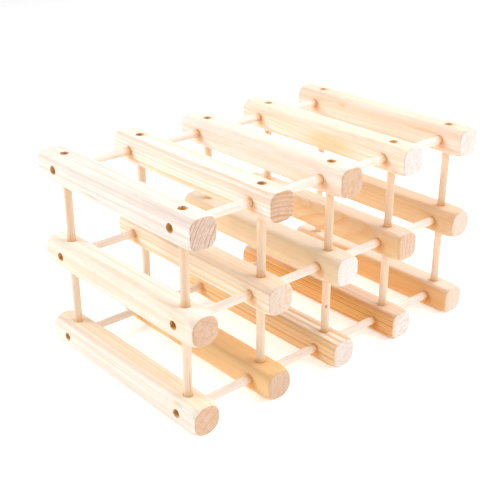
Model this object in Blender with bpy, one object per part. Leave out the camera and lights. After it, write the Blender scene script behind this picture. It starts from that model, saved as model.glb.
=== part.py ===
"""A modular wine rack of pine: rows of square bars, pegged together with short round dowels.

The bars run from front to back. Cross dowels join the bars of one row side by side, and upright
dowels carry each row on the one below. Every bar is the same drilled blank. +X is to the right,
+Y to the back and +Z up, and the origin is on the ground under the middle of the rack.
Units are metres.
"""

import math

import bmesh
import bpy

# The bars
BAR_SIDE = 0.032  # width and height of the square section
BAR_LENGTH = 0.268  # from front to back
EDGE_RADIUS = 0.006  # rounding of the four long edges
END_EASE = 0.002  # rounding over round each end face
END_CORNER_RADIUS = 0.0085  # the end face's own corners, sanded rounder than the long edges

# The layout
COLUMN_PITCH = 0.099  # from one bar's centre to the next in a row
ROW_PITCH = 0.1025  # from one row's centre to the next one up
SOCKET_SPACING = 0.2065  # from the front holes to the back holes of a bar
COLUMNS = 5
ROW_NAMES = ("bottom", "middle", "top")
TIER_NAMES = ("lower", "upper")

# The dowels
DOWEL_DIAMETER = 0.0095
DOWEL_CHAMFER = 0.0006  # on each end's rim
FIT_GAP = 0.0003  # round a dowel in its hole
CROSSING_GAP = 0.0008  # from a dowel's end to the side of a dowel that crosses its line

# Facets
EDGE_STEPS = 3  # along each rounded corner of the section
EASE_STEPS = 2  # from the end face to the bar's sides
ROUND_SIDES = 12  # of a dowel and of its hole
SHARP_ANGLE = math.radians(50)  # an edge that turns more than this stays crisp

# Natural pine, from the whitest bars to the deepest
TONES = {
    "white": (0.93, 0.82, 0.66),
    "cream": (0.90, 0.76, 0.57),
    "straw": (0.88, 0.70, 0.46),
    "honey": (0.84, 0.62, 0.38),
    "amber": (0.78, 0.52, 0.29),
}
BAR_TONES = {
    "bottom": ("cream", "amber", "straw", "cream", "straw"),
    "middle": ("white", "honey", "straw", "cream", "cream"),
    "top": ("white", "straw", "cream", "honey", "straw"),
}
DOWEL_TONE = (0.89, 0.72, 0.51)
ROUGHNESS = 0.62

HOLE_RADIUS = DOWEL_DIAMETER / 2 + FIT_GAP
# A dowel goes in until its end is just short of the dowel that crosses the bar there.
INSERTION = (BAR_SIDE - DOWEL_DIAMETER) / 2 - CROSSING_GAP
CROSS_LENGTH = COLUMN_PITCH - BAR_SIDE + 2 * INSERTION
UPRIGHT_LENGTH = ROW_PITCH - BAR_SIDE + 2 * INSERTION
FRONT_AND_BACK = {"front": -SOCKET_SPACING / 2, "back": SOCKET_SPACING / 2}
ALONG_X = (0, 0, math.pi / 2)  # turns a rod that lies along Y to lie along X
ALONG_Z = (math.pi / 2, 0, 0)  # stands a rod that lies along Y up along Z


def clear_scene():
    for item in list(bpy.data.objects):
        bpy.data.objects.remove(item)


def column_x(column):
    return (column - (COLUMNS - 1) / 2) * COLUMN_PITCH


def row_z(row):
    return BAR_SIDE / 2 + row * ROW_PITCH


def wood(name, color):
    material = bpy.data.materials.new(name)
    material.use_nodes = True
    shader = material.node_tree.nodes["Principled BSDF"]
    shader.inputs["Base Color"].default_value = (*color, 1.0)
    shader.inputs["Roughness"].default_value = ROUGHNESS
    shader.inputs["Metallic"].default_value = 0.0
    return material


def rounded_square(half, radius):
    """Points of a rounded square in x and z, a quarter turn at a time from the right-hand side."""
    straight = half - radius
    points = []
    for quarter, (side, level) in enumerate(((1, 1), (-1, 1), (-1, -1), (1, -1))):
        for step in range(EDGE_STEPS + 1):
            angle = math.pi / 2 * (quarter + step / EDGE_STEPS)
            x = side * straight + radius * math.cos(angle)
            z = level * straight + radius * math.sin(angle)
            points.append((x, z))
    return points


def circle(radius):
    turns = [math.tau * (side + 0.5) / ROUND_SIDES for side in range(ROUND_SIDES)]
    return [(radius * math.cos(turn), radius * math.sin(turn)) for turn in turns]


def lofted_mesh(name, sections):
    """A closed mesh through sections along Y, each a y and its outline's points in x and z."""
    shape = bmesh.new()
    rings = []
    for y, outline in sections:
        rings.append([shape.verts.new((x, y, z)) for x, z in outline])
    for ring, following in zip(rings, rings[1:]):
        for corner in range(len(ring)):
            after = (corner + 1) % len(ring)
            shape.faces.new((ring[corner], ring[after], following[after], following[corner]))
    shape.faces.new(rings[0])
    shape.faces.new(rings[-1])
    bmesh.ops.recalc_face_normals(shape, faces=shape.faces)
    mesh = bpy.data.meshes.new(name)
    shape.to_mesh(mesh)
    shape.free()
    return mesh


def shade_round(mesh):
    mesh.shade_smooth()
    mesh.set_sharp_from_angle(angle=SHARP_ANGLE)


def bar_blank():
    """A bar before drilling, along Y about the origin."""
    sections = []
    for step in range(EASE_STEPS + 1):
        angle = math.pi / 2 * step / EASE_STEPS
        worn = 1 - math.sin(angle)
        half = BAR_SIDE / 2 - END_EASE * worn
        radius = EDGE_RADIUS + (END_CORNER_RADIUS - EDGE_RADIUS) * worn
        inset = END_EASE * (1 - math.cos(angle))
        sections.append((-BAR_LENGTH / 2 + inset, rounded_square(half, radius)))
    sections += [(-y, outline) for y, outline in reversed(sections)]
    return lofted_mesh("bar_blank", sections)


def drill_mesh():
    """A plain rod along Y that reaches well past both sides of a bar."""
    outline = circle(HOLE_RADIUS)
    return lofted_mesh("drill", [(-BAR_SIDE, outline), (BAR_SIDE, outline)])


def dowel_mesh(name, length):
    """A dowel along Y about the origin, with chamfered rims."""
    side = circle(DOWEL_DIAMETER / 2)
    rim = circle(DOWEL_DIAMETER / 2 - DOWEL_CHAMFER)
    half = length / 2
    shoulder = half - DOWEL_CHAMFER
    mesh = lofted_mesh(name, [(-half, rim), (-shoulder, side), (shoulder, side), (half, rim)])
    shade_round(mesh)
    return mesh


def place(mesh, name, location, rotation=(0, 0, 0)):
    item = bpy.data.objects.new(name, mesh)
    item.location = location
    item.rotation_euler = rotation
    bpy.context.scene.collection.objects.link(item)
    return item


def drilled_bar():
    """The blank with a hole through it each way near both ends."""
    blank = place(bar_blank(), "blank", (0, 0, 0))
    drill = drill_mesh()
    drills = []
    for end, y in FRONT_AND_BACK.items():
        for way, rotation in (("across", ALONG_X), ("down", ALONG_Z)):
            cutter = place(drill, f"drill_{end}_{way}", (0, y, 0), rotation)
            cutter.hide_render = True
            cutter.display_type = "WIRE"
            cut = blank.modifiers.new(cutter.name, "BOOLEAN")
            cut.operation = "DIFFERENCE"
            cut.solver = "EXACT"
            cut.object = cutter
            drills.append(cutter)
    bpy.context.view_layer.update()
    evaluated = blank.evaluated_get(bpy.context.evaluated_depsgraph_get())
    mesh = bpy.data.meshes.new_from_object(evaluated)
    mesh.name = "bar"
    for item in [blank, *drills]:
        bpy.data.objects.remove(item)
    shade_round(mesh)
    return mesh


def add_part(rack, mesh, name, location, color, rotation=(0, 0, 0)):
    """One piece of the rack, with a material of its own."""
    part = place(mesh, name, location, rotation)
    part.parent = rack
    if not mesh.materials:
        mesh.materials.append(None)
    part.material_slots[0].link = "OBJECT"
    part.material_slots[0].material = wood(name, color)


def add_bars(rack):
    mesh = drilled_bar()
    for row, row_name in enumerate(ROW_NAMES):
        for column in range(COLUMNS):
            name = f"bar_{row_name}_{column + 1}"
            color = TONES[BAR_TONES[row_name][column]]
            add_part(rack, mesh, name, (column_x(column), 0, row_z(row)), color)


def add_cross_dowels(rack):
    mesh = dowel_mesh("cross_dowel", CROSS_LENGTH)
    for row, row_name in enumerate(ROW_NAMES):
        for gap in range(COLUMNS - 1):
            x = (column_x(gap) + column_x(gap + 1)) / 2
            for end, y in FRONT_AND_BACK.items():
                name = f"cross_dowel_{row_name}_gap{gap + 1}_{end}"
                add_part(rack, mesh, name, (x, y, row_z(row)), DOWEL_TONE, ALONG_X)


def add_upright_dowels(rack):
    mesh = dowel_mesh("upright_dowel", UPRIGHT_LENGTH)
    for tier, tier_name in enumerate(TIER_NAMES):
        z = (row_z(tier) + row_z(tier + 1)) / 2
        for column in range(COLUMNS):
            for end, y in FRONT_AND_BACK.items():
                name = f"upright_dowel_{tier_name}_col{column + 1}_{end}"
                add_part(rack, mesh, name, (column_x(column), y, z), DOWEL_TONE, ALONG_Z)


def main():
    clear_scene()
    rack = bpy.data.objects.new("wine_rack", None)
    bpy.context.scene.collection.objects.link(rack)
    add_bars(rack)
    add_cross_dowels(rack)
    add_upright_dowels(rack)
    bpy.context.view_layer.update()


main()
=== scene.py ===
"""The looks of a pine wine rack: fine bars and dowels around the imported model, with drawn wood grain.

Every bar and dowel replaces the plain CAD node of the same name, at the place that the frame gives.
Lengths are in metres. A piece is modelled along its own Y axis, the way its grain runs.
"""

import math

import bmesh
import bpy
from mathutils import Matrix, Vector


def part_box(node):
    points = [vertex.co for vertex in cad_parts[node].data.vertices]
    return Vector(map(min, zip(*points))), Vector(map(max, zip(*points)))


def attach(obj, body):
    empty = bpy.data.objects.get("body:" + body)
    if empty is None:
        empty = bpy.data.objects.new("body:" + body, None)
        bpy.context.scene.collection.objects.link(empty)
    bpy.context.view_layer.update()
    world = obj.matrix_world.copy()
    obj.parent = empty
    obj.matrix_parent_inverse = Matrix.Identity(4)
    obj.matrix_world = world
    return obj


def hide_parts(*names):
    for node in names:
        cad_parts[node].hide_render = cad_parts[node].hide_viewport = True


# The pieces' shape, as in the CAD model but for their ends and the softened rims
EDGE_RADIUS = 0.006  # of the four long edges
END_EASE = 0.0011  # rounding over round each end face
END_CORNER_RADIUS = 0.0105  # the end face's own corners, sanded rounder than the long edges
WORN_CORNER_RADIUS = 0.0135  # the same on the bars whose ends are the roundest
WORN_BARS = ("bar_middle_1", "bar_bottom_1", "bar_bottom_2", "bar_middle_5")
TAPER = 0.012  # how far from an end its corners start to get rounder
DOWEL_DIAMETER = 0.0095
FIT_GAP = 0.0003  # round a dowel in its hole
RIM_RADIUS = 0.00035  # softened rim of a drilled hole
DOWEL_CHAMFER = 0.0006  # on each end's rim

# How finely the meshes are divided
EDGE_STEPS = 6  # along each rounded corner of the section
EASE_STEPS = 4  # over the rounding of an end
TAPER_STEPS = 5
RIM_STEPS = 3
HOLE_STEPS = 8  # along each side of the square patch round a hole, so a quarter of the hole's sides
HOLE_SIDES = 4 * HOLE_STEPS
PATCH = 0.75  # half the patch's side, as a share of a bar's flat
MOUTH_RINGS = (0.45, 0.8)  # where rings lie between the patch's outline and the rim of its hole
TUBE_STEPS = 5  # down a hole
SPAN_STEPS = 14  # along the bar between its two pairs of holes
CAP_SCALES = (0.86, 0.68, 0.46, 0.22)  # of the rings that close an end face
DOWEL_SIDES = 40
DOWEL_STEPS = 12  # along a dowel
MERGE_DISTANCE = 1e-6
SHARP_ANGLE = math.radians(45)  # an edge that turns more than this stays crisp

ROWS = ("bottom", "middle", "top")
TIERS = ("lower", "upper")
COLUMNS = 5
ENDS = ("front", "back")
ALONG_X = (0, 0, -math.pi / 2)  # lays a piece that runs along Y along X
ALONG_Z = (math.pi / 2, 0, 0)  # stands a piece that runs along Y up


# ---------------------------------------------------------------- bars and dowels


def flat_stops():
    """Where points lie across a bar's flat, as shares of half its width.

    They are the two edges, and between them the columns of the patch round a hole.
    """
    middle = [PATCH * (2 * step / HOLE_STEPS - 1) for step in range(HOLE_STEPS + 1)]
    return [-1.0, *middle, 1.0]


STOPS = flat_stops()
SIDE_POINTS = len(STOPS) + EDGE_STEPS - 1
SIDES = ((1, 0), (0, 1), (-1, 0), (0, -1))  # the outward direction of each side, in x and z


def section(half, radius):
    """A rounded square in x and z, a side and then its corner at a time."""
    flat = half - radius
    points = []
    for side, (out_x, out_z) in enumerate(SIDES):
        along_x, along_z = SIDES[(side + 1) % 4]
        for stop in STOPS:
            points.append((out_x * half + along_x * stop * flat, out_z * half + along_z * stop * flat))
        for step in range(1, EDGE_STEPS):
            turn = math.pi / 2 * step / EDGE_STEPS
            out = flat + radius * math.cos(turn)
            along = flat + radius * math.sin(turn)
            points.append((out_x * out + along_x * along, out_z * out + along_z * along))
    return points


def end_stations(half, corner):
    """(distance from the end, half width, corner radius) of each section of a bar's worn end."""
    stations = []
    for step in range(EASE_STEPS):
        turn = math.pi / 2 * step / EASE_STEPS
        inset = END_EASE * (1 - math.cos(turn))
        stations.append((inset, half - END_EASE * (1 - math.sin(turn)), corner))
    for step in range(TAPER_STEPS + 1):
        share = step / TAPER_STEPS
        radius = corner + (EDGE_RADIUS - corner) * math.sin(math.pi / 2 * share)
        stations.append((END_EASE + (TAPER - END_EASE) * share, half, radius))
    return stations


def bar_stations(half, length, hole_places, patch_half, corner):
    """(y, half width, corner radius) of each section along a bar, and where each hole's patch starts."""
    ends = end_stations(half, corner)
    stations = [(inset - length / 2, wide, radius) for inset, wide, radius in ends]
    first_stations = []
    for place in hole_places:
        first_stations.append(len(stations))
        for step in range(HOLE_STEPS + 1):
            stations.append((place + patch_half * (2 * step / HOLE_STEPS - 1), half, EDGE_RADIUS))
        if place != hole_places[-1]:
            start, stop = place + patch_half, hole_places[-1] - patch_half
            for step in range(1, SPAN_STEPS):
                stations.append((start + (stop - start) * step / SPAN_STEPS, half, EDGE_RADIUS))
    stations += [(length / 2 - inset, wide, radius) for inset, wide, radius in reversed(ends)]
    return stations, first_stations


def patch_loop(first_station, side):
    """(station, point) round a hole's square patch, from the middle of its far column towards +Y."""
    low, high = 1, 1 + HOLE_STEPS
    start, stop = first_station, first_station + HOLE_STEPS
    middle = HOLE_STEPS // 2
    loop = [(station, high) for station in range(start + middle, stop)]
    loop += [(stop, column) for column in range(high, low, -1)]
    loop += [(station, low) for station in range(stop, start, -1)]
    loop += [(start, column) for column in range(low, high)]
    loop += [(station, high) for station in range(start, start + middle)]
    return [(station, side * SIDE_POINTS + column) for station, column in loop]


def patch_faces(first_stations):
    """(station, point) of every face that a hole's square patch takes the place of."""
    faces = set()
    for first in first_stations:
        for side in range(4):
            for step in range(HOLE_STEPS):
                for column in range(1, 1 + HOLE_STEPS):
                    faces.add((first + step, side * SIDE_POINTS + column))
    return faces


def bridge(shape, outer, inner):
    """Quads between two closed loops of points."""
    for here in range(len(outer)):
        after = (here + 1) % len(outer)
        shape.faces.new((outer[here], outer[after], inner[after], inner[here]))


def close_end(shape, ring, y):
    """Closes a flat end face with rings that shrink to a point."""
    outer = ring
    for scale in CAP_SCALES:
        inner = [shape.verts.new((point.co.x * scale, y, point.co.z * scale)) for point in ring]
        bridge(shape, outer, inner)
        outer = inner
    middle = shape.verts.new((0, y, 0))
    for here in range(len(outer)):
        shape.faces.new((outer[here], outer[(here + 1) % len(outer)], middle))


def drill(shape, loop, side, place, half):
    """A hole from one side of a bar to the middle, where it meets the hole that crosses it."""
    out = Vector((SIDES[side][0], 0, SIDES[side][1]))
    across = Vector((SIDES[(side + 1) % 4][0], 0, SIDES[(side + 1) % 4][1]))
    bore = DOWEL_DIAMETER / 2 + FIT_GAP
    in_bore = shape.verts.layers.float["bore"]
    turns = [math.tau * step / HOLE_SIDES for step in range(HOLE_SIDES)]

    def ring(radius, depths):
        points = []
        for turn, depth in zip(turns, depths):
            point = out * depth + across * radius * math.cos(turn)
            point.y = place + radius * math.sin(turn)
            points.append(shape.verts.new(point))
        return points

    mouth = ring(bore + RIM_RADIUS, [half] * HOLE_SIDES)
    outer = loop
    for share in MOUTH_RINGS:
        inner = [shape.verts.new(a.co.lerp(b.co, share)) for a, b in zip(loop, mouth)]
        bridge(shape, outer, inner)
        outer = inner
    bridge(shape, outer, mouth)
    outer = mouth
    for step in range(1, RIM_STEPS + 1):
        turn = math.pi / 2 * step / RIM_STEPS
        radius = bore + RIM_RADIUS * (1 - math.sin(turn))
        inner = ring(radius, [half - RIM_RADIUS * (1 - math.cos(turn))] * HOLE_SIDES)
        bridge(shape, outer, inner)
        outer = inner
    for step in range(1, TUBE_STEPS + 1):
        share = step / TUBE_STEPS
        top = half - RIM_RADIUS
        depths = [top + (bore * abs(math.cos(turn)) - top) * share for turn in turns]
        inner = ring(bore, depths)
        for point in inner:
            point[in_bore] = 1
        bridge(shape, outer, inner)
        outer = inner


def bar_shape(half, length, hole_places, corner):
    """A bar along Y about the origin: rounded edges, eased ends and crossing holes near both ends."""
    shape = bmesh.new()
    shape.verts.layers.float.new("bore")
    patch_half = PATCH * (half - EDGE_RADIUS)
    stations, first_stations = bar_stations(half, length, hole_places, patch_half, corner)
    patched = patch_faces(first_stations)
    rings = []
    for y, wide, radius in stations:
        rings.append([shape.verts.new((x, y, z)) for x, z in section(wide, radius)])
    for station in range(len(rings) - 1):
        ring, following = rings[station], rings[station + 1]
        for here in range(len(ring)):
            if (station, here) not in patched:
                after = (here + 1) % len(ring)
                shape.faces.new((ring[here], following[here], following[after], ring[after]))
    for place, first in zip(hole_places, first_stations):
        for side in range(4):
            loop = [rings[station][here] for station, here in patch_loop(first, side)]
            drill(shape, loop, side, place, half)
    close_end(shape, rings[0], stations[0][0])
    close_end(shape, rings[-1], stations[-1][0])
    bmesh.ops.delete(shape, geom=[v for v in shape.verts if not v.link_faces], context="VERTS")
    bmesh.ops.remove_doubles(shape, verts=shape.verts, dist=MERGE_DISTANCE)
    return shape


def dowel_shape(length):
    """A round dowel along Y about the origin, with chamfered rims."""
    shape = bmesh.new()
    radius = DOWEL_DIAMETER / 2
    inner = length / 2 - DOWEL_CHAMFER
    stations = [(-length / 2, radius - DOWEL_CHAMFER)]
    stations += [(-inner + 2 * inner * step / DOWEL_STEPS, radius) for step in range(DOWEL_STEPS + 1)]
    stations.append((length / 2, radius - DOWEL_CHAMFER))
    turns = [math.tau * side / DOWEL_SIDES for side in range(DOWEL_SIDES)]
    rings = []
    for y, wide in stations:
        rings.append([shape.verts.new((wide * math.cos(t), y, wide * math.sin(t))) for t in turns])
    for ring, following in zip(rings, rings[1:]):
        bridge(shape, ring, following)
    close_end(shape, rings[0], stations[0][0])
    close_end(shape, rings[-1], stations[-1][0])
    return shape


def finished_mesh(shape, name):
    """The mesh of a shape, shaded smooth, with how much end grain each point shows in an attribute."""
    bmesh.ops.recalc_face_normals(shape, faces=shape.faces)
    mesh = bpy.data.meshes.new(name)
    shape.to_mesh(mesh)
    shape.free()
    mesh.shade_smooth()
    mesh.set_sharp_from_angle(angle=SHARP_ANGLE)
    end_grain = mesh.attributes.new("end_grain", "FLOAT", "CORNER")
    end_grain.data.foreach_set("value", [abs(corner.vector.y) for corner in mesh.corner_normals])
    return mesh


# ---------------------------------------------------------------- the wood


class Graph:
    """Writes shader nodes as formulas. A value is a number, a triple or another node's output."""

    def __init__(self, tree):
        self.tree = tree

    def node(self, kind, inputs=(), **settings):
        made = self.tree.nodes.new(kind)
        for name, value in settings.items():
            setattr(made, name, value)
        for key, value in dict(inputs).items():
            if isinstance(value, bpy.types.NodeSocket):
                self.tree.links.new(value, made.inputs[key])
            else:
                made.inputs[key].default_value = value
        return made

    def math(self, operation, *values):
        return self.node("ShaderNodeMath", enumerate(values), operation=operation).outputs[0]

    def vector(self, operation, *values):
        made = self.node("ShaderNodeVectorMath", enumerate(values), operation=operation)
        return made.outputs["Value" if operation == "LENGTH" else "Vector"]

    def scaled(self, vector, factor):
        made = self.node("ShaderNodeVectorMath", {0: vector, "Scale": factor}, operation="SCALE")
        return made.outputs["Vector"]

    def noise(self, place, fineness, detail=2.0, roughness=0.5):
        """Noise with so many features to a metre across the grain and along it."""
        across, along = fineness
        stretched = self.vector("MULTIPLY", place, (across, along, across))
        inputs = {"Vector": stretched, "Scale": 1.0, "Detail": detail, "Roughness": roughness}
        return self.node("ShaderNodeTexNoise", inputs).outputs

    def ramp(self, value, start, stop, low=0.0, high=1.0):
        """value's rise from start to stop, smoothly from low to high."""
        inputs = {"Value": value, "From Min": start, "From Max": stop, "To Min": low, "To Max": high}
        return self.node("ShaderNodeMapRange", inputs, interpolation_type="SMOOTHSTEP").outputs["Result"]

    def spread(self, value, low, high):
        """A noise value turned into low to high."""
        inputs = {"Value": value, "From Min": 0.25, "From Max": 0.75, "To Min": low, "To Max": high}
        return self.node("ShaderNodeMapRange", inputs, clamp=True).outputs["Result"]

    def mix(self, share, first, second):
        inputs = {"Factor": share, 6: first, 7: second}
        return self.node("ShaderNodeMix", inputs, data_type="RGBA").outputs[2]

    def tinted(self, share, colour, tint):
        """A colour, of which a share is multiplied by a tint."""
        return self.mix(share, colour, self.vector("MULTIPLY", colour, tint))


GROUP_INPUTS = (
    ("Pith", "NodeSocketVector"),
    ("Drift", "NodeSocketVector"),
    ("Ring Width", "NodeSocketFloat"),
    ("Late Share", "NodeSocketFloat"),
    ("Contrast", "NodeSocketFloat"),
    ("Wander", "NodeSocketFloat"),
    ("Streaks", "NodeSocketFloat"),
    ("Early", "NodeSocketColor"),
    ("Late", "NodeSocketColor"),
    ("End Tint", "NodeSocketColor"),
    ("End Contrast", "NodeSocketFloat"),
    ("Mark Place", "NodeSocketVector"),
    ("Mark Size", "NodeSocketVector"),
    ("Mark Tint", "NodeSocketColor"),
    ("Stain And Shade Place", "NodeSocketVector"),
    ("Stain And Shade Size", "NodeSocketVector"),
    ("Stain And Shade Tint", "NodeSocketColor"),
    ("Hole Place", "NodeSocketFloat"),
    ("Root Place", "NodeSocketFloat"),
    ("Root Shade Tint", "NodeSocketColor"),
    ("Seed", "NodeSocketFloat"),
)
GROUP_OUTPUTS = (
    ("Color", "NodeSocketColor"),
    ("Roughness", "NodeSocketFloat"),
    ("Normal", "NodeSocketVector"),
)

# How fine each noise is, in features to a metre across the grain and along it
BEND = (24.0, 8.0)  # broad straying of the grain
WAVER = (150.0, 14.0)  # and fine straying
STREAK = (210.0, 3.5)
MOTTLE = (55.0, 16.0)
FIBRE = (1500.0, 30.0)
FLECK = (620.0, 45.0)
SPECK = (900.0, 900.0)  # the cut fibres in end grain

# The rings
WAVER_SHARE = 0.12  # how far the fine straying goes, as a share of the broad one
UNEVEN_RINGS = 1.6  # how many rings too far out one may lie
UNEVEN_RATE = 0.31  # how fast that changes from ring to ring
LEAST_VIGOUR = 0.25  # of the palest ring's late wood
LATE_END = 0.9  # where in a ring its late wood ends
LATE_FULL = 0.88  # and where it is at its darkest

# The rest of the wood
STREAK_RANGE = (0.42, 0.66)  # noise values from no streak to a full one
MOTTLE_STRENGTH = 0.16
FIBRE_SHADES = (0.92, 1.05)  # from the darkest fibre to the palest
FLECK_RANGE = (0.74, 0.8)
FLECK_STRENGTH = 0.25
SPECK_SHADES = (0.84, 1.09)
END_FACING = (0.35, 0.9)  # how far a surface faces along the grain, from a side to an end
EDGE_FACING = (0.15, 0.5, 0.7, 0.97)  # the same where the darker band round an end starts, fills, fades and stops
MARK_CORE = 0.25  # the share of a place of another colour that has its full tint
EDGE_TINT = (0.86, 0.72, 0.6)  # round an end face
EDGE_STRENGTH = 0.5
# painted shade inside the holes: their walls made warmer and darker
BORE_SHADE_TINT = (1.15, 0.88, 0.26)

# The painted shadow round a hole, as its dowel would cast it below and in front
HALO_SHADOW_TINT = (0.9, 0.64, 0.36)
SIDE_HALO = 0.85
TOP_HALO = 0.3
HALO_INNER = 0.0025
HALO_OUTER = 0.011
HALO_DROP = 0.004  # how far it hangs below a hole in a side
HALO_FORWARD = 0.003  # and lies in front of any hole

# Painted shade on a dowel where it enters a bar
CROSS_ROOT_SHADE = (0.96, 0.66, 0.34)
UPRIGHT_ROOT_SHADE = (0.98, 0.84, 0.62)
ROOT_SHADE_REACH = 0.012

# The surface
ROUGHNESS = 0.6
LATE_ROUGHNESS = -0.08  # more than early wood's
END_ROUGHNESS = 0.14  # more than a side's
FIBRE_ROUGHNESS = 0.05
FIBRE_HEIGHT = 0.5
LATE_HEIGHT = 0.6
BUMP_STRENGTH = 0.3
BUMP_DISTANCE = 0.0002
SPECULAR = 0.35


def straying(g, own, reach):
    """How far the grain strays from straight: a broad bend and a fine waver."""
    middle = (0.5, 0.5, 0.5)
    bend = g.vector("SUBTRACT", g.noise(own, BEND)["Color"], middle)
    waver = g.vector("SUBTRACT", g.noise(own, WAVER, detail=3.0)["Color"], middle)
    return g.scaled(bend, reach), g.scaled(waver, g.math("MULTIPLY", reach, WAVER_SHARE))


def late_wood(g, given, place, bend, waver):
    """How much late wood shows: rings round the pith, each as strong as that year's growth."""
    along = g.node("ShaderNodeSeparateXYZ", {0: place}).outputs["Y"]
    pith = g.vector("ADD", given["Pith"], g.scaled(given["Drift"], along))
    out = g.vector("SUBTRACT", g.vector("ADD", g.vector("ADD", place, bend), waver), pith)
    distance = g.vector("LENGTH", g.vector("MULTIPLY", out, (1.0, 0.0, 1.0)))
    count = g.math("DIVIDE", distance, given["Ring Width"])
    rate = g.math("MULTIPLY_ADD", count, UNEVEN_RATE, given["Seed"])
    inputs = {"W": rate, "Scale": 1.0, "Detail": 1.0}
    uneven = g.node("ShaderNodeTexNoise", inputs, noise_dimensions="1D").outputs["Fac"]
    count = g.math("MULTIPLY_ADD", uneven, UNEVEN_RINGS, count)
    year = g.math("ADD", g.math("FLOOR", count), given["Seed"])
    season = g.math("FRACT", count)
    vigour = g.node("ShaderNodeTexWhiteNoise", {"W": year}, noise_dimensions="1D").outputs["Value"]
    vigour = g.math("MULTIPLY_ADD", vigour, 1 - LEAST_VIGOUR, LEAST_VIGOUR)
    rise = g.ramp(season, g.math("SUBTRACT", LATE_END, given["Late Share"]), LATE_FULL)
    late = g.math("MULTIPLY", rise, g.ramp(season, LATE_END, 1.0, 1.0, 0.0))
    return g.math("MULTIPLY", late, vigour)


def with_fibres(g, given, own, colour):
    """The colour with streaks, mottling, fibres and flecks along the grain, and the fibres' noise."""
    streak = g.ramp(g.noise(own, STREAK, detail=4.0, roughness=0.6)["Fac"], *STREAK_RANGE)
    colour = g.mix(g.math("MULTIPLY", streak, given["Streaks"]), colour, given["Late"])
    mottle = g.noise(own, MOTTLE, detail=3.0, roughness=0.6)["Fac"]
    colour = g.mix(g.spread(mottle, 0.0, MOTTLE_STRENGTH), colour, given["Late"])
    fibre = g.noise(own, FIBRE, detail=3.0, roughness=0.7)["Fac"]
    colour = g.scaled(colour, g.spread(fibre, *FIBRE_SHADES))
    fleck = g.ramp(g.noise(own, FLECK, detail=0.0)["Fac"], *FLECK_RANGE)
    return g.mix(g.math("MULTIPLY", fleck, FLECK_STRENGTH), colour, given["Late"]), fibre


def with_marks(g, given, bent, colour):
    """The colour with two places of another tint, which are marks in the wood on some pieces and painted
    shade on others.
    """
    for kind in ("Mark", "Stain And Shade"):
        reach = g.vector("SUBTRACT", bent, given[f"{kind} Place"])
        reach = g.vector("LENGTH", g.vector("DIVIDE", reach, given[f"{kind} Size"]))
        colour = g.tinted(g.ramp(reach, MARK_CORE, 1.0, 1.0, 0.0), colour, given[f"{kind} Tint"])
    return colour


def with_end_grain(g, given, own, facing, end, colour):
    """End grain is darker and speckled by the cut fibres, and darker still round its rounded edge."""
    speck = g.noise(own, SPECK, detail=4.0, roughness=0.65)["Fac"]
    cut = g.vector("MULTIPLY", colour, given["End Tint"])
    colour = g.mix(end, colour, g.scaled(cut, g.spread(speck, *SPECK_SHADES)))
    start, full, fade, stop = EDGE_FACING
    edge = g.math("MULTIPLY", g.ramp(facing, start, full), g.ramp(facing, fade, stop, 1.0, 0.0))
    return g.tinted(g.math("MULTIPLY", edge, EDGE_STRENGTH), colour, EDGE_TINT), speck


def with_holes(g, given, place, colour):
    """Painted shadow round the holes' mouths, painted shade inside them, and painted shade on a dowel where
    it goes in.
    """
    parts = g.node("ShaderNodeSeparateXYZ", {0: place}).outputs
    from_hole = g.math("ABSOLUTE", g.math("ADD", parts["Y"], HALO_FORWARD))
    from_hole = g.math("SUBTRACT", from_hole, given["Hole Place"])
    below = g.math("ADD", parts["Z"], HALO_DROP)
    # painted shadow of the dowels: round a hole in a side, hanging below and in front of it, and round a
    # hole in a top
    for level, strength in ((below, SIDE_HALO), (parts["X"], TOP_HALO)):
        squares = g.math("ADD", g.math("POWER", from_hole, 2.0), g.math("POWER", level, 2.0))
        halo = g.ramp(g.math("SQRT", squares), HALO_INNER, HALO_OUTER, strength, 0.0)
        colour = g.tinted(halo, colour, HALO_SHADOW_TINT)
    # painted shade on the walls of the holes
    bore = g.node("ShaderNodeAttribute", attribute_name="bore").outputs["Fac"]
    colour = g.tinted(bore, colour, BORE_SHADE_TINT)
    # painted shade on a dowel over its last stretch into a bar
    to_root = g.math("SUBTRACT", g.math("ABSOLUTE", parts["Y"]), given["Root Place"])
    return g.tinted(g.ramp(to_root, -ROOT_SHADE_REACH, 0.0), colour, given["Root Shade Tint"])


def roughness_of(g, ringed, end, fibre):
    roughness = g.math("MULTIPLY_ADD", ringed, LATE_ROUGHNESS, ROUGHNESS)
    roughness = g.math("MULTIPLY_ADD", end, END_ROUGHNESS, roughness)
    return g.math("ADD", roughness, g.spread(fibre, -FIBRE_ROUGHNESS, FIBRE_ROUGHNESS))


def relief(g, late, end, fibre, speck):
    """Raised fibres and late wood on the sides, and cut fibres on the ends."""
    along = g.math("MULTIPLY_ADD", fibre, FIBRE_HEIGHT, g.math("MULTIPLY", late, LATE_HEIGHT))
    height = g.mix(end, along, speck)
    inputs = {"Strength": BUMP_STRENGTH, "Distance": BUMP_DISTANCE, "Height": height}
    return g.node("ShaderNodeBump", inputs).outputs["Normal"]


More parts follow.
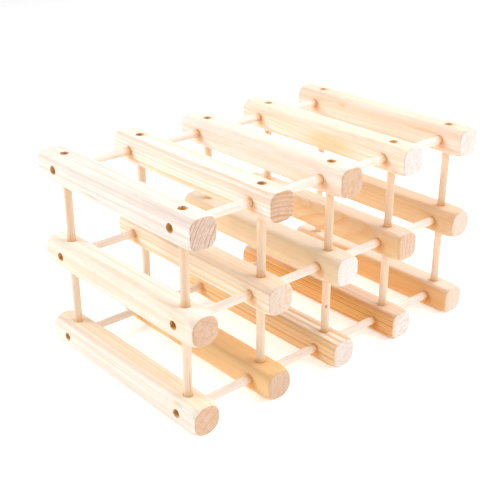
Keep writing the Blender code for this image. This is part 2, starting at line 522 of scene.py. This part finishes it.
def pine_group():
    """Growth rings round a pith, cut by the piece's own faces, and all that lies over them."""
    tree = bpy.data.node_groups.new("pine", "ShaderNodeTree")
    for name, kind in GROUP_INPUTS:
        tree.interface.new_socket(name, in_out="INPUT", socket_type=kind)
    for name, kind in GROUP_OUTPUTS:
        tree.interface.new_socket(name, in_out="OUTPUT", socket_type=kind)
    g = Graph(tree)
    given = g.node("NodeGroupInput").outputs
    place = g.node("ShaderNodeTexCoord").outputs["Object"]
    seeds = {0: given["Seed"], 1: given["Seed"], 2: given["Seed"]}
    own = g.vector("ADD", place, g.node("ShaderNodeCombineXYZ", seeds).outputs[0])
    facing = g.node("ShaderNodeAttribute", attribute_name="end_grain").outputs["Fac"]
    end = g.ramp(facing, *END_FACING)

    bend, waver = straying(g, own, given["Wander"])
    late = late_wood(g, given, place, bend, waver)
    strength = g.math("MULTIPLY_ADD", end, given["End Contrast"], given["Contrast"])
    ringed = g.math("MULTIPLY", late, strength)
    colour = g.mix(ringed, given["Early"], given["Late"])
    colour, fibre = with_fibres(g, given, own, colour)
    colour = with_marks(g, given, g.vector("ADD", place, bend), colour)
    colour, speck = with_end_grain(g, given, own, facing, end, colour)
    colour = with_holes(g, given, place, colour)

    roughness = roughness_of(g, ringed, end, fibre)
    normal = relief(g, late, end, fibre, speck)
    g.node("NodeGroupOutput", {0: colour, 1: roughness, 2: normal})
    return tree


NOWHERE = ((0, 1, 0), (0.01, 0.01, 0.01), (1, 1, 1))  # for a place that a piece doesn't have
FAR = 1.0  # the same for holes and roots
LATE = (0.72, 0.40, 0.17)  # late wood on most pieces


def look(
    early, end, late=LATE, pith=(0.06, 0.03), drift=(0.0, 0.0), ring=0.003, late_share=0.6, contrast=0.4,
    wander=0.004, streaks=0.28, end_contrast=0.2, mark=NOWHERE, stain_and_shade=NOWHERE,
):
    """One piece's wood, by the colours of its early wood, of its end grain and of its late wood.

    pith is where its rings centre, in x and z from its middle, and drift is how far that moves for
    each metre along the piece. The last two arguments are each (place, size, tint) of a place of another
    colour: a mark in the wood on some pieces, painted shade on others.
    """
    end_tint = [at_end / along for at_end, along in zip(end, early)]
    return {
        "Pith": (pith[0], 0, pith[1]),
        "Drift": (drift[0], 0, drift[1]),
        "Ring Width": ring,
        "Late Share": late_share,
        "Contrast": contrast,
        "Wander": wander,
        "Streaks": streaks,
        "Early": (*early, 1),
        "Late": (*late, 1),
        "End Tint": (*end_tint, 1),
        "End Contrast": end_contrast,
        "Mark Place": mark[0],
        "Mark Size": mark[1],
        "Mark Tint": (*mark[2], 1),
        "Stain And Shade Place": stain_and_shade[0],
        "Stain And Shade Size": stain_and_shade[1],
        "Stain And Shade Tint": (*stain_and_shade[2], 1),
        "Hole Place": FAR,
        "Root Place": FAR,
        "Root Shade Tint": (1, 1, 1, 1),
    }


def wood(name, group, looks, seed):
    """A material that shows a piece's wood through the shared node group."""
    material = bpy.data.materials.new(name)
    material.use_nodes = True
    g = Graph(material.node_tree)
    shader = material.node_tree.nodes["Principled BSDF"]
    shader.inputs["Specular IOR Level"].default_value = SPECULAR
    pine = g.node("ShaderNodeGroup", node_tree=group)
    for key, value in {**looks, "Seed": seed}.items():
        pine.inputs[key].default_value = value
    for output, socket in (("Color", "Base Color"), ("Roughness", "Roughness"), ("Normal", "Normal")):
        g.tree.links.new(pine.outputs[output], shader.inputs[socket])
    return material


# Pine's tones along the grain, from the whitest to the deepest
SNOW = (0.91, 0.87, 0.79)
WHITE = (0.91, 0.83, 0.75)
CREAM = (0.91, 0.80, 0.67)
BLUSH = (0.89, 0.73, 0.62)
PEACH = (0.85, 0.75, 0.64)
STRAW = (0.82, 0.67, 0.57)
HONEY = (0.80, 0.56, 0.42)
AMBER = (0.92, 0.60, 0.30)
# and across it
PALE_END = (0.89, 0.84, 0.82)
CREAM_END = (0.84, 0.77, 0.73)
PEACH_END = (0.82, 0.69, 0.59)
ROSE_END = (0.80, 0.60, 0.48)
ORANGE_END = (0.79, 0.57, 0.41)
BROWN_END = (0.76, 0.53, 0.38)
GREY_END = (0.81, 0.62, 0.50)


def left_side_shade(tint):
    """Painted warm shade all along a bar's left side, fading out where it turns over to the top."""
    return (-0.02, 0, 0), (0.0125, 0.6, 0.6), tint


# Many bars carry painted warm shade along their left sides, given as one of their two places of another
# tint
BAR_LOOKS = {
    "bar_top_1": look(
        WHITE, GREY_END, late=(0.50, 0.29, 0.2), pith=(0.09, -0.05), ring=0.0033, late_share=0.3,
        contrast=0.06, end_contrast=0.8,
        mark=((-0.016, 0.03, -0.008), (0.01, 0.025, 0.0016), (0.9, 0.78, 0.62))),
    "bar_top_2": look(
        WHITE, BROWN_END, pith=(-0.015, -0.09), ring=0.0048, contrast=0.5, end_contrast=0.35, streaks=0.3,
        mark=((-0.016, 0, -0.009), (0.006, 0.2, 0.0035), (0.97, 0.85, 0.66))),
    "bar_top_3": look(
        WHITE, ORANGE_END, pith=(-0.09, 0.01), ring=0.003, contrast=0.1,
        mark=left_side_shade((0.98, 0.95, 0.95)),
        stain_and_shade=((-0.016, -0.09, -0.008), (0.012, 0.07, 0.012), (0.98, 0.9, 0.82))),
    "bar_top_4": look(
        CREAM, PALE_END, pith=(0.02, -0.07), drift=(0.0, 0.08), ring=0.0045, contrast=0.2,
        end_contrast=-0.15, mark=((-0.016, -0.02, -0.004), (0.012, 0.055, 0.016), (0.96, 0.82, 0.6))),
    "bar_top_5": look(
        BLUSH, PALE_END, pith=(-0.07, 0.02), drift=(0.04, 0.04), ring=0.007, late_share=0.3, contrast=0.35,
        end_contrast=-0.3, mark=((-0.016, 0.054, 0.007), (0.01, 0.01, 0.004), (0.96, 0.86, 0.68)),
        stain_and_shade=((-0.016, -0.08, 0.006), (0.01, 0.035, 0.0028), (0.97, 0.85, 0.66))),
    "bar_middle_1": look(
        SNOW, BROWN_END, pith=(0.08, 0.14), ring=0.02, late_share=0.1, contrast=0.12, end_contrast=0.3,
        mark=((-0.016, -0.11, 0.009), (0.01, 0.02, 0.003), (0.94, 0.85, 0.7)),
        stain_and_shade=left_side_shade((1.0, 0.93, 0.86))),
    "bar_middle_2": look(
        CREAM, PEACH_END, late=(0.86, 0.52, 0.23), pith=(0.02, 0.09), ring=0.0066, contrast=0.65,
        end_contrast=-0.55, streaks=0.38),
    "bar_middle_3": look(
        PEACH, PALE_END, pith=(0.08, 0.03), ring=0.005, contrast=0.15, end_contrast=-0.1, streaks=0.15,
        mark=left_side_shade((0.99, 0.91, 0.73))),
    "bar_middle_4": look(
        STRAW, ROSE_END, pith=(0.09, -0.04), drift=(0.1, -0.3), ring=0.006, contrast=0.4, end_contrast=0.25,
        wander=0.009, mark=left_side_shade((1.0, 0.86, 0.59))),
    "bar_middle_5": look(
        HONEY, PEACH_END, pith=(0.06, 0.06), ring=0.004, contrast=0.4, end_contrast=-0.2, streaks=0.2,
        mark=left_side_shade((0.95, 0.96, 0.77))),
    "bar_bottom_1": look(
        SNOW, ORANGE_END, pith=(-0.05, 0.07), ring=0.009, late_share=0.3, contrast=0.1, end_contrast=0.25,
        # this mark is painted shade of the bars above, all along the top
        mark=((0.004, 0, 0.02), (0.02, 0.4, 0.016), (1.0, 0.93, 0.8)),
        stain_and_shade=((-0.016, -0.107, 0.012), (0.01, 0.012, 0.003), (0.94, 0.85, 0.75))),
    "bar_bottom_2": look(AMBER, BROWN_END, pith=(-0.1, 0.0), ring=0.0042, contrast=0.25, streaks=0.2),
    "bar_bottom_3": look(
        SNOW, CREAM_END, late=(0.72, 0.42, 0.17), pith=(0.03, 0.07), ring=0.0058, contrast=0.8,
        end_contrast=-0.65, streaks=0.2, mark=left_side_shade((1.0, 0.75, 0.45))),
    "bar_bottom_4": look(
        PEACH, PALE_END, late=(0.62, 0.30, 0.12), pith=(0.0, -0.08), ring=0.0042, contrast=0.95,
        end_contrast=-0.7, streaks=0.35, mark=left_side_shade((0.98, 0.64, 0.25))),
    "bar_bottom_5": look(
        STRAW, PEACH_END, pith=(0.09, 0.01), ring=0.0055, contrast=0.35, end_contrast=-0.1, streaks=0.2,
        mark=left_side_shade((0.97, 0.73, 0.37))),
}

# The dowels' wood
KNOT = ((-0.0028, -0.001, 0.0038), (0.0022, 0.003, 0.0022), (0.6, 0.42, 0.24))
DARK_STREAK = ((-0.001, -0.018, 0.0046), (0.0012, 0.02, 0.002), (0.86, 0.7, 0.5))
DOWEL_MARKS = {"upright_dowel_lower_col3_front": KNOT, "upright_dowel_lower_col1_front": DARK_STREAK}
CROSS_EARLY = (0.93, 0.85, 0.78)
UPRIGHT_EARLY = {"upper": (0.89, 0.67, 0.49), "lower": (0.92, 0.74, 0.58)}
DOWEL_END = (0.80, 0.58, 0.40)
DOWEL_PITH = 0.03  # how far its rings' pith is from a dowel's middle
DOWEL_TURN = 2.4  # radians from one dowel's pith direction to the next one's

# What makes each piece's noise its own
COLUMN_SEED = 1.7  # for each column
ROW_SEED = 11.3  # for each row
FIRST_DOWEL_SEED = 40
DOWEL_SEED = 0.9  # for each dowel


def add_piece(mesh, node, place, turn, material):
    """A finished piece in place of a CAD node."""
    piece = bpy.data.objects.new(f"{node}_pine", mesh)
    piece.location = place
    piece.rotation_euler = turn
    bpy.context.scene.collection.objects.link(piece)
    mesh.materials.append(material)
    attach(piece, "root")
    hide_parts(node)


def middle_of(node):
    low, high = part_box(node)
    return (low + high) / 2


def span_of(node):
    low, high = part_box(node)
    return high - low


def add_bars(group):
    size = span_of("bar_top_1")
    places = [middle_of(f"upright_dowel_upper_col1_{end}").y for end in ENDS]
    for row in ROWS:
        for column in range(1, COLUMNS + 1):
            node = f"bar_{row}_{column}"
            corner = WORN_CORNER_RADIUS if node in WORN_BARS else END_CORNER_RADIUS
            mesh = finished_mesh(bar_shape(size.x / 2, size.y, places, corner), node)
            slot = f"pine_{row}_{column}"
            seed = COLUMN_SEED * column + ROW_SEED * ROWS.index(row)
            looks = dict(BAR_LOOKS[node])
            if column > 1:  # dowels go into its left side
                # this also turns on the painted shadow of those dowels round its holes
                looks["Hole Place"] = places[-1]
            material = wood(slot, group, looks, seed)
            add_piece(mesh, node, middle_of(node), (0, 0, 0), material)


def dowel_nodes():
    """(node, slot, colour, painted shade where it enters a bar, turn) of every dowel."""
    nodes = []
    for end in ENDS:
        for row in ROWS:
            for gap in range(1, COLUMNS):
                node = f"cross_dowel_{row}_gap{gap}_{end}"
                nodes.append((node, "dowel_cross", CROSS_EARLY, CROSS_ROOT_SHADE, ALONG_X))
        for tier in TIERS:
            for column in range(1, COLUMNS + 1):
                node = f"upright_dowel_{tier}_col{column}_{end}"
                nodes.append((node, "dowel_upright", UPRIGHT_EARLY[tier], UPRIGHT_ROOT_SHADE, ALONG_Z))
    return nodes


def add_dowels(group):
    bar_side = span_of("bar_top_1").x
    column_pitch = middle_of("bar_top_2").x - middle_of("bar_top_1").x
    row_pitch = middle_of("bar_top_1").z - middle_of("bar_middle_1").z
    for number, (node, slot, early, root, turn) in enumerate(dowel_nodes()):
        mesh = finished_mesh(dowel_shape(max(span_of(node))), node)
        pith = (DOWEL_PITH * math.cos(DOWEL_TURN * number), DOWEL_PITH * math.sin(DOWEL_TURN * number))
        mark = DOWEL_MARKS.get(node, NOWHERE)
        looks = look(early, DOWEL_END, pith=pith, ring=0.0021, contrast=0.15, streaks=0.06, mark=mark)
        pitch = column_pitch if slot == "dowel_cross" else row_pitch
        looks["Root Place"] = (pitch - bar_side) / 2
        # the tint of the painted shade where the dowel enters a bar
        looks["Root Shade Tint"] = (*root, 1)
        material = wood(f"{node}_wood", group, looks, FIRST_DOWEL_SEED + DOWEL_SEED * number)
        add_piece(mesh, node, middle_of(node), turn, material)


# ---------------------------------------------------------------- the studio


def plain(name, colour, roughness, glow):
    """A plain material that also gives off a white glow."""
    material = bpy.data.materials.new(name)
    material.use_nodes = True
    shader = material.node_tree.nodes["Principled BSDF"]
    shader.inputs["Base Color"].default_value = (*colour, 1)
    shader.inputs["Roughness"].default_value = roughness
    shader.inputs["Emission Color"].default_value = (1, 1, 1, 1)
    shader.inputs["Emission Strength"].default_value = glow
    return material


FLOOR_RADIUS = 8.0
FLOOR_SIDES = 96
FLOOR_COLOUR = (0.93, 0.93, 0.93)
FLOOR_ROUGHNESS = 0.9
FLOOR_GLOW = 0.34  # a light table under the rack
SOFTBOX_TARGET = Vector((0, 0, 0.12))
SKY_STRENGTH = 0.26
SOFTBOXES = {  # place, power in watts and size
    "above": ((0.4, 0.2, 2.4), 11.0, 1.6),
    "over_left": ((-1.4, 0.0, 1.9), 12.0, 1.6),
    "back_left": ((-1.5, 1.5, 1.2), 26.0, 0.8),
    "right": ((2.2, 0.0, 0.9), 47.5, 1.2),
    "front_right_high": ((1.0, -1.0, 2.0), 28.0, 1.6),
    "front": ((0.0, -2.2, 0.8), 4.8, 1.6),
}


def add_floor():
    shape = bmesh.new()
    bmesh.ops.create_circle(shape, cap_ends=True, segments=FLOOR_SIDES, radius=FLOOR_RADIUS)
    mesh = bpy.data.meshes.new("floor")
    shape.to_mesh(mesh)
    shape.free()
    mesh.materials.append(plain("floor", FLOOR_COLOUR, FLOOR_ROUGHNESS, FLOOR_GLOW))
    floor = bpy.data.objects.new("floor", mesh)
    bpy.context.scene.collection.objects.link(floor)


def add_softbox(name, place, power, size):
    light = bpy.data.lights.new(name, "AREA")
    light.shape = "DISK"
    light.size = size
    light.energy = power
    lamp = bpy.data.objects.new(name, light)
    lamp.location = place
    lamp.rotation_euler = (SOFTBOX_TARGET - Vector(place)).to_track_quat("-Z", "Y").to_euler()
    lamp.visible_camera = False
    bpy.context.scene.collection.objects.link(lamp)


def add_light():
    world = bpy.data.worlds.new("studio")
    world.use_nodes = True
    sky = world.node_tree.nodes["Background"]
    sky.inputs["Color"].default_value = (1, 1, 1, 1)
    sky.inputs["Strength"].default_value = SKY_STRENGTH
    bpy.context.scene.world = world
    bpy.context.scene.view_settings.view_transform = "Standard"
    for name, (place, power, size) in SOFTBOXES.items():
        add_softbox(name, place, power, size)


# The camera looks down on the rack's front left corner.
CAMERA_AZIMUTH = math.radians(-41.508)
CAMERA_ELEVATION = math.radians(25.093)
CAMERA_ROLL = math.radians(0.122)
CAMERA_TARGET = Vector((-0.02423, 0.0, 0.09922))
CAMERA_DISTANCE = 1.106
CAMERA_LENS = 67.67
CAMERA_SENSOR = 36.0
CAMERA_SHIFT = (0.0038, 0.0074)


def add_camera():
    across, rise = math.sin(CAMERA_AZIMUTH), math.sin(CAMERA_ELEVATION)
    level = math.cos(CAMERA_ELEVATION)
    back = Vector((across * level, -math.cos(CAMERA_AZIMUTH) * level, rise))
    right = Vector((math.cos(CAMERA_AZIMUTH), across, 0))
    up = back.cross(right)
    turn = Matrix((right, up, back)).transposed().to_4x4() @ Matrix.Rotation(CAMERA_ROLL, 4, "Z")
    data = bpy.data.cameras.new("camera")
    data.sensor_width = CAMERA_SENSOR
    data.lens = CAMERA_LENS
    data.shift_x, data.shift_y = CAMERA_SHIFT
    data.clip_end = 4 * FLOOR_RADIUS  # well past the floor
    camera = bpy.data.objects.new("camera", data)
    camera.matrix_world = Matrix.Translation(CAMERA_TARGET + back * CAMERA_DISTANCE) @ turn
    bpy.context.scene.collection.objects.link(camera)
    bpy.context.scene.camera = camera


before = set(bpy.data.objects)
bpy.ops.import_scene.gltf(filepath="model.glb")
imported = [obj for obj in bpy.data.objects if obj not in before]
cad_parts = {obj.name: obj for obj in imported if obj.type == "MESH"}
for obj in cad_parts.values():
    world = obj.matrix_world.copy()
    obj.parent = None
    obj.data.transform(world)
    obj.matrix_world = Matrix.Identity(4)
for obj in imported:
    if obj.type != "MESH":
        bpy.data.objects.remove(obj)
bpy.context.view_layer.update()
pine = pine_group()
add_bars(pine)
add_dowels(pine)
add_floor()
add_light()
add_camera()
